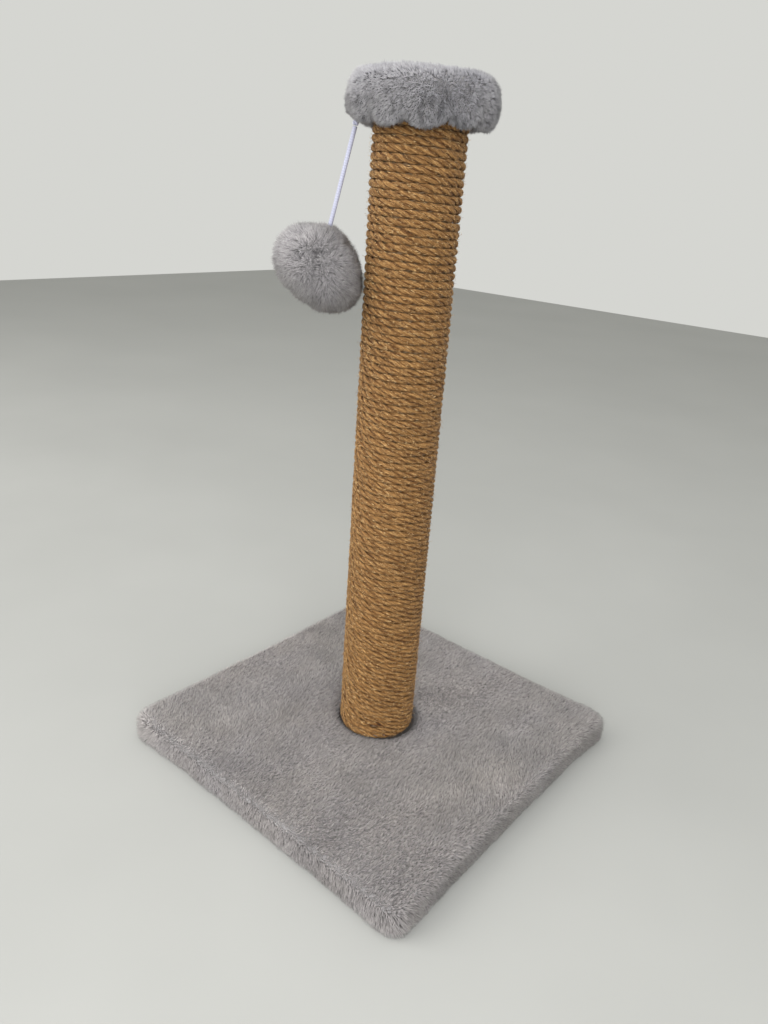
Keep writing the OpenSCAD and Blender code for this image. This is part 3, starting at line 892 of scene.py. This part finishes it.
# ---------------------------------------------------------------- cap
def cap_skin():
    """The cap's backing: crowned top, rounded edge, sides that hang in gathered lobes, and the hem."""
    around = 288
    angle = np.arange(around) / around * TAU
    top = cap_high.z - 2.2 * mm
    body_r = cap_r - 2.9 * mm
    edge_r = 9.5 * mm
    board_z = cap_board_low.z
    near_toy = np.exp(-(turned_from(angle, toy_angle) / 0.34) ** 2)
    # lobes of gathered cloth between the staples, of uneven size
    ring_place = np.stack([np.cos(angle), np.sin(angle), np.zeros(around)], -1)
    phase = angle * 11 + 1.5 * ripple(ring_place, 1.6, 61)
    lobe = np.abs(np.sin(phase / 2)) ** 0.7
    lobe_size = (0.75 + 0.35 * ripple(ring_place, 0.9, 62)) * (1 - 0.75 * near_toy)
    # it hangs lowest on the side that faces 295 degrees
    low_side = np.exp(-(turned_from(angle, math.radians(295)) / 0.75) ** 2)
    hang = (0.8 + 5.0 * lobe * np.clip(lobe_size, 0.2, 1.3) + (1.2 + 2.6 * lobe) * low_side) * mm
    groove = (1 - lobe) * (1 - 0.5 * near_toy)
    crown, gathered = 1.1 * mm, 3.4 * mm
    lip_r = 2.2 * mm
    rings = []
    for t in np.linspace(0.02, 1, 18):
        r = (body_r - edge_r) * t
        rings.append((np.full(around, r), np.full(around, top - crown * t ** 2)))
    for bend in np.linspace(0.1, 1, 9) * math.pi / 2:
        rings.append((np.full(around, body_r - edge_r + edge_r * math.sin(bend)),
                      np.full(around, top - crown - edge_r * (1 - math.cos(bend)))))
    side_top = top - crown - edge_r
    bottom = board_z - hang
    for t in np.linspace(0, 1, 14)[1:]:
        z = side_top + (bottom + lip_r - side_top) * t
        bulge = 0.9 * mm * math.sin(math.pi * t) - groove * gathered * t ** 3 - 0.8 * mm * t ** 2
        clear_r = np.where(z > board_z - 1.5 * mm, cap_board_high.x + 1.3 * mm, 0)
        rings.append((np.maximum(body_r + bulge, clear_r), z))
    rings_over_lip = len(rings)
    for bend in np.linspace(0.2, 1, 5) * math.pi / 2:
        r = body_r - 0.8 * mm - groove * gathered - 2.6 * mm * (1 - math.cos(bend))
        rings.append((r, bottom + lip_r - lip_r * math.sin(bend)))
    inner = rings[-1][0]
    hem_r = 36.5 * mm
    for t, rise in ((0.3, 0.25), (0.55, 0.6), (0.8, 0.9), (1.0, 1.0)):
        r = inner + (hem_r - inner) * t
        rings.append((r, bottom + (board_z - 1.7 * mm - bottom) * rise))
    points = np.concatenate([np.column_stack([r * np.cos(angle), r * np.sin(angle), z]) for r, z in rings])
    soft = ripple(points, 34 * mm, 63) * 0.7 * mm + ripple(points, 12 * mm, 64) * 0.5 * mm
    soft = np.where(points[:, 2] > cap_board_high.z, np.maximum(soft, -0.4 * mm), soft)
    middle = np.array([0, 0, (cap_board_low.z + cap_high.z) / 2])
    away = unit(points - middle)
    inside = np.zeros(len(points))
    inside[:around * rings_over_lip] = 1
    points += away * (soft * inside)[:, None]
    return points, loft_faces(len(rings), around), around, len(rings)


def add_cap():
    """The cap's cloth and its pile."""
    points, faces, around, rings = cap_skin()
    crown = len(points)
    cover_points = np.concatenate([points, [[0, 0, points[:around, 2].mean()]]])
    cover_faces = faces.tolist() + fan(crown, 0, around, flip=True)
    cover = new_piece("cap_plush_cloth", cover_points, cover_faces, plush_backing)
    face_out(cover)
    thicken(cover, 1.0 * mm)
    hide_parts("cap_cover")
    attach(cover, "post_and_base")
    bare_rings = 3
    with_pile = faces[:around * (rings - bare_rings)]
    count = 60000
    roots, normals = scatter(points, with_pile, count, 65)
    if normals[np.argmax(roots[:, 2])][2] < 0:
        normals = -normals
    rng = np.random.default_rng(66)
    angle = np.arctan2(roots[:, 1], roots[:, 0])
    heading = 4.4 + 1.2 * ripple(roots, 30 * mm, 67) + 0.6 * ripple(roots, 8 * mm, 74)
    heading += rng.normal(0, 0.35, count)
    lie = np.stack([np.cos(heading), np.sin(heading), np.zeros(count)], -1)
    side = 1 - np.clip(normals[:, 2], 0, 1)
    lie[:, 2] -= 1.3 * side
    lie = along_cloth(lie, normals)
    length = (3.9 + 0.6 * ripple(roots, 14 * mm, 68) + rng.normal(0, 0.5, count)) * mm
    under = roots[:, 2] < cap_board_low.z + 1 * mm
    toy_near = np.abs(turned_from(angle, toy_angle)) < 0.2
    length = np.where(under & toy_near, length * 0.6, length)
    lay_down = 0.62 + 0.2 * ripple(roots, 7 * mm, 69) + rng.normal(0, 0.14, count)
    length, lay_down = some_standing(length, lay_down, rng, 0.14, 1.15)
    tips = tuft_tips(roots, normals, lie, length, lay_down)
    # clumps of clumps
    tips = gather_tips(roots, tips, 0.03, 0.15 + 0.25 * rng.random(count), 73)
    tips = gather_tips(roots, tips, 0.10, 0.05 + 0.3 * rng.random(count), 70)
    tone_and_shade = 0.85 + 0.04 * ripple(roots, 26 * mm, 71) + 0.09 * ripple(roots, 2.6 * mm, 72)
    tone_and_shade += rng.normal(0, 0.08, count)
    # painted shade: the top and the side facing 15 degrees are darker
    tone_and_shade -= 0.13 * np.clip(normals[:, 2], 0, 1) + 0.09 * np.clip(np.cos(angle - math.radians(15)), 0, 1)
    # painted shade: the low sides are darker, most in the folds
    low_side_shade = np.clip((cap_board_high.z + 2 * mm - roots[:, 2]) / (9 * mm), 0, 1)
    fold_shade = np.clip(ripple(roots * [1, 1, 0.35], 5 * mm, 76), 0, 1)
    tone_and_shade -= low_side_shade * (0.06 + 0.3 * fold_shade)
    roots = roots - normals * sunk
    tuft_w = 0.62 * mm
    for i, part in enumerate(np.array_split(np.arange(count), 2)):
        pile = add_pile(f"cap_plush_pile_{i + 1}", roots[part], tips[part], tuft_w, tone_and_shade[part], cap_pile)
        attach(pile, "post_and_base")


def add_cap_pad():
    """The foam disc on the cap's board, its cut edge a little rounded."""
    low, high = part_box("cap_pad")
    around = 96
    angle = np.arange(around) / around * TAU
    round_r = 2.2 * mm
    sag = 0.8 * mm
    outline = [(0.2, high.z), (0.5, high.z), (0.8, high.z - 0.1 * mm)]
    rings = [(high.x * share, z) for share, z in outline]
    for bend in np.linspace(0.1, 1, 6) * math.pi / 2:
        rings.append((high.x - round_r * (1 - math.sin(bend)),
                      high.z - 0.2 * mm - round_r * (1 - math.cos(bend))))
    rings += [(high.x, low.z + 1.0 * mm), (high.x - 0.5 * mm, low.z + 0.1 * mm)]
    rings += [(high.x * 0.6, low.z), (high.x * 0.2, low.z)]
    points = np.array([[r * math.cos(a), r * math.sin(a), z] for r, z in rings for a in angle])
    on_top = points[:, 2] > high.z - 3 * mm
    points[:, 2] += np.where(on_top, ripple(points, 18 * mm, 75) * 0.15 * mm - sag, 0)
    top_pole, low_pole = len(points), len(points) + 1
    points = np.concatenate([points, [[0, 0, high.z - sag], [0, 0, low.z]]])
    faces = loft_faces(len(rings), around).tolist() + fan(top_pole, 0, around, flip=True)
    faces += fan(low_pole, (len(rings) - 1) * around, around)
    pad = new_piece("cap_foam_pad", points, faces, foam_finish())
    face_out(pad)
    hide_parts("cap_pad")
    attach(pad, "post_and_base")


# ---------------------------------------------------------------- ball
def ball_frame():
    """The directions of the ball's gathered mouth and of two axes square to it."""
    out, side, up = np.array(toy_side.cross(cord_down)), np.array(toy_side), -np.array(cord_down)
    if out @ np.array(toy_out) < 0:
        out = -out
    turn, lift = math.radians(83), math.radians(25)
    mouth = math.cos(lift) * (math.cos(turn) * out + math.sin(turn) * side) + math.sin(lift) * up
    east = unit(np.cross(up, mouth))
    north = np.cross(mouth, east)
    return mouth, east, north


def ball_crease(polar, angle):
    """How far the cloth is drawn in, 0 to 1: a small dimple at the mouth with three uneven arms."""
    arms = np.zeros_like(polar)
    for arm, reach in ((0.4, 0.5), (3.6, 0.48), (4.9, 0.75)):
        off_line = turned_from(angle, arm) * np.maximum(polar, 0.15) / 0.07
        arms = np.maximum(arms, np.exp(-off_line ** 2 - (polar / reach) ** 4))
    return np.maximum(np.exp(-(polar / 0.11) ** 2), arms)


def ball_reach(direction):
    """How far the ball's cloth is from its middle in a direction: an uneven bag, drawn in at its mouth."""
    mouth, east, north = ball_frame()
    polar = np.arccos(np.clip(direction @ mouth, -1, 1))
    angle = np.arctan2(direction @ north, direction @ east)
    size = np.full(len(direction), ball_r - 3.6 * mm)
    size -= 5.6 * mm * ball_crease(polar, angle)
    size -= 0.5 * mm * (0.5 + 0.5 * np.cos(14 * angle)) * np.exp(-(polar / 0.5) ** 2)
    size += ripple(direction, 1.5, 81) * 0.6 * mm + ripple(direction, 0.6, 82) * 0.4 * mm
    # pulled long from high on the free side to low by the post, then single lumps and flats
    out, up = np.array(toy_out), np.array([0.0, 0.0, 1.0])
    tilt = math.radians(38)
    long_way = out * math.cos(tilt) + up * math.sin(tilt)
    short_way = up * math.cos(tilt) - out * math.sin(tilt)
    size += 3.2 * mm * ((direction @ long_way) ** 2 - (direction @ short_way) ** 2)
    lumps = ((80, -3.8, 0.36), (111, 2.0, 0.38), (150, -2.6, 0.45), (-55, -4.2, 0.5), (-139, 2.0, 0.4))
    for lump_angle, swell, width in lumps:
        facing = out * math.cos(math.radians(lump_angle)) + up * math.sin(math.radians(lump_angle))
        turned = np.arccos(np.clip(direction @ facing, -1, 1))
        size += swell * mm * np.exp(-(turned / width) ** 2)
    # it rests on the rope, and its pile is pressed there
    reach = -(direction @ out)
    return np.where(reach > 0.3, np.minimum(size, (ball_r - 2.2 * mm) / np.maximum(reach, 0.3)), size)


def ball_skin():
    """The ball's cloth, laid round from its mouth to the far side."""
    mouth, east, north = ball_frame()
    around, rings = 160, 70
    polar = np.linspace(0.06, math.pi - 0.03, rings)
    angle = np.arange(around) / around * TAU
    p, a = np.meshgrid(polar, angle, indexing="ij")
    direction = (np.cos(p)[..., None] * mouth + np.sin(p)[..., None] * (
        np.cos(a)[..., None] * east + np.sin(a)[..., None] * north)).reshape(-1, 3)
    points = np.array(ball_centre) + direction * ball_reach(direction)[:, None]
    return points, loft_faces(rings, around), around, rings


def add_ball():
    """The ball's cloth and its pile."""
    points, faces, around, rings = ball_skin()
    mouth, east, north = ball_frame()
    far_pole, last = len(points), (rings - 1) * around
    far_point = np.array(ball_centre) - mouth * ball_reach(-mouth[None, :])[0]
    cover_points = np.concatenate([points, far_point[None, :]])
    cover_faces = faces.tolist() + fan(far_pole, last, around)
    cover = new_piece("ball_plush_cloth", cover_points, cover_faces, plush_backing)
    face_out(cover)
    thicken(cover, 0.8 * mm)
    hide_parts("ball_cover")
    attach(cover, "ball")
    roots, normals = scatter(points, faces, 40000, 83)
    centre = np.array(ball_centre)
    if ((roots - centre) * normals).sum() < 0:
        normals = -normals
    # no pile grows where the cord comes out
    cord_here = np.linalg.norm(np.cross(roots - centre, -np.array(cord_down)), axis=1) < cord_r
    cord_here &= (roots - centre) @ np.array(cord_down) < 0
    roots, normals = roots[~cord_here], normals[~cord_here]
    count = len(roots)
    rng = np.random.default_rng(84)
    away = -(mouth[None, :] - (normals @ mouth)[:, None] * normals)
    away = unit(away + rng.normal(0, 0.16, (count, 3)))
    turned = 0.35 * ripple(roots, 22 * mm, 85)
    sideways = np.cross(normals, away)
    lie = along_cloth(away * np.cos(turned)[:, None] + sideways * np.sin(turned)[:, None], normals)
    length = (4.5 + 0.6 * ripple(roots, 12 * mm, 86) + rng.normal(0, 0.6, count)) * mm
    lay_down = 0.72 + 0.12 * ripple(roots, 10 * mm, 87) + rng.normal(0, 0.1, count)
    length, lay_down = some_standing(length, lay_down, rng, 0.16, 1.2)
    # where the ball rests on the rope the pile is pressed flat
    to_post = np.array([-toy_out.x, -toy_out.y, 0.0])
    squeezed = np.clip((unit(roots - centre) @ to_post - 0.9) / 0.1, 0, 1)
    lay_down = lay_down + 0.75 * squeezed
    tips = tuft_tips(roots, normals, lie, length, lay_down)
    tips = gather_tips(roots, tips, 0.03, 0.08 + 0.3 * rng.random(count), 88)
    tone_and_shade = 0.86 + 0.04 * ripple(roots, 18 * mm, 89) + 0.11 * ripple(roots, 3 * mm, 90)
    tone_and_shade += rng.normal(0, 0.12, count)
    # in the creases the pile is short, and painted shade makes it dark
    direction = unit(roots - centre)
    from_mouth = np.arccos(np.clip(direction @ mouth, -1, 1))
    drawn_in = ball_crease(from_mouth, np.arctan2(direction @ north, direction @ east))
    tone_and_shade *= 1 - 0.62 * drawn_in
    tips = roots + (tips - roots) * (1 - 0.45 * drawn_in)[:, None]
    roots = roots - normals * sunk
    pile = add_pile("ball_plush_pile", roots, tips, 0.6 * mm, tone_and_shade, ball_pile)
    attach(pile, "ball")


def add_ball_filling():
    """A lumpy ball of polyester fibre, open where the cord and its knot sit."""
    around, rings = 96, 60
    up = -np.array(cord_down)
    one = unit(np.cross(up, [0.2, 0.9, 0.1]))
    two = np.cross(up, one)
    size = ball_r - 5.6 * mm
    outer = [(math.sin(t) * size, math.cos(t) * size) for t in np.linspace(0.09, math.pi, rings)]
    # the cord's way in and the room for its knot, from the outside inwards
    well = [(2.2 * mm, size * 0.93), (2.2 * mm, 19.2 * mm), (4.2 * mm, 16.5 * mm), (4.2 * mm, 12.5 * mm),
            (1.0 * mm, 10.4 * mm)]
    profile = [*well[::-1], *outer]
    angle = np.arange(around) / around * TAU
    spokes = [math.cos(a) * one + math.sin(a) * two for a in angle]
    points = np.array([np.array(ball_centre) + spoke * max(r, 0.02 * mm) + up * h
                       for r, h in profile for spoke in spokes])
    body = slice(around * len(well), None)
    direction = unit(points[body] - np.array(ball_centre))
    reach = ball_reach(direction) - 1.5 * mm - 0.4 * mm * np.abs(ripple(direction, 0.5, 92))
    points[body] = np.array(ball_centre) + direction * reach[:, None]
    faces = loft_faces(len(profile), around).tolist()
    faces.append(list(range(around)))
    faces.append(list(range((len(profile) - 1) * around, len(profile) * around)))
    filling = new_piece("ball_filling", points, faces, stuffing_finish())
    face_out(filling)
    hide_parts("ball_stuffing")
    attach(filling, "ball")


def add_mouth_thread():
    """Thread that draws the mouth shut, wound three times round the gathered neck."""
    mouth, east, north = ball_frame()
    t = np.linspace(0, 3 * TAU, 160)
    neck = 3.4 * mm + 0.25 * mm * np.cos(t * 7)
    height = ball_r - 9.4 * mm + 0.55 * mm * t / TAU
    spoke = np.cos(t)[:, None] * east + np.sin(t)[:, None] * north
    path = np.array(ball_centre) + neck[:, None] * spoke + height[:, None] * mouth
    piece = tube("ball_mouth_thread", path, 0.35 * mm, thread, sides=8)
    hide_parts("ball_tie")
    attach(piece, "ball")


# ---------------------------------------------------------------- boards, tube, fixings
def finish_cad_nodes():
    """Materials for the pieces whose shape is the frame's own."""
    board, card, steel = board_finish(), card_finish(), steel_finish()
    finishes = {
        "base_board": board, "bottom_plug": board, "top_plug": board, "cap_board": board,
        "post_tube": card,
        "base_staples": steel, "base_bolt": steel, "base_washer": steel, "bottom_tee_nut": steel,
        "plug_nails": steel, "rope_staples": steel, "cap_screws": steel, "cap_staples": steel,
        "toy_staple": steel,
    }
    for node, finish in finishes.items():
        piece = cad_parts[node]
        piece.data.materials.clear()
        piece.data.materials.append(finish)


# ---------------------------------------------------------------- stage and light
def add_stage():
    bpy.ops.object.select_all(action="DESELECT")
    bpy.ops.mesh.primitive_plane_add(size=6, location=(0, 0, 0))
    floor = bpy.context.object
    floor.name = "floor"
    floor.data.materials.append(floor_finish())


def add_light(name, place, aim, size, power, colour):
    """A square soft light that points at aim."""
    light = bpy.data.lights.new(name, "AREA")
    light.size = size
    light.energy = power
    light.color = colour
    lamp = bpy.data.objects.new(name, light)
    lamp.location = place
    lamp.rotation_euler = (Vector(aim) - Vector(place)).to_track_quat("-Z", "Y").to_euler()
    bpy.context.scene.collection.objects.link(lamp)


def add_lights():
    """Pale even surroundings and three large soft lights."""
    world = bpy.data.worlds.new("studio")
    world.use_nodes = True
    world.node_tree.nodes["Background"].inputs["Color"].default_value = (0.98, 0.985, 0.94, 1)
    world.node_tree.nodes["Background"].inputs["Strength"].default_value = 0.68
    bpy.context.scene.world = world
    add_light("soft_key", (-1.1, -1.3, 1.3), (0, 0, 0.25), 1.6, 30, (1.0, 0.985, 0.965))
    add_light("soft_top", (0.1, -0.2, 2.0), (0, 0, 0.1), 1.8, 12, (0.97, 0.985, 1.0))
    add_light("soft_front", (0.95, -1.1, 0.75), (0, 0, 0.25), 1.2, 26, (0.99, 0.99, 1.0))
    bpy.context.scene.view_settings.view_transform = "Standard"


add_cord()
add_knots()
add_base()
add_lining()
add_rope()
add_rope_fuzz()
add_cap_pad()
add_cap()
add_ball_filling()
add_ball()
add_mouth_thread()
finish_cad_nodes()
add_stage()
add_lights()
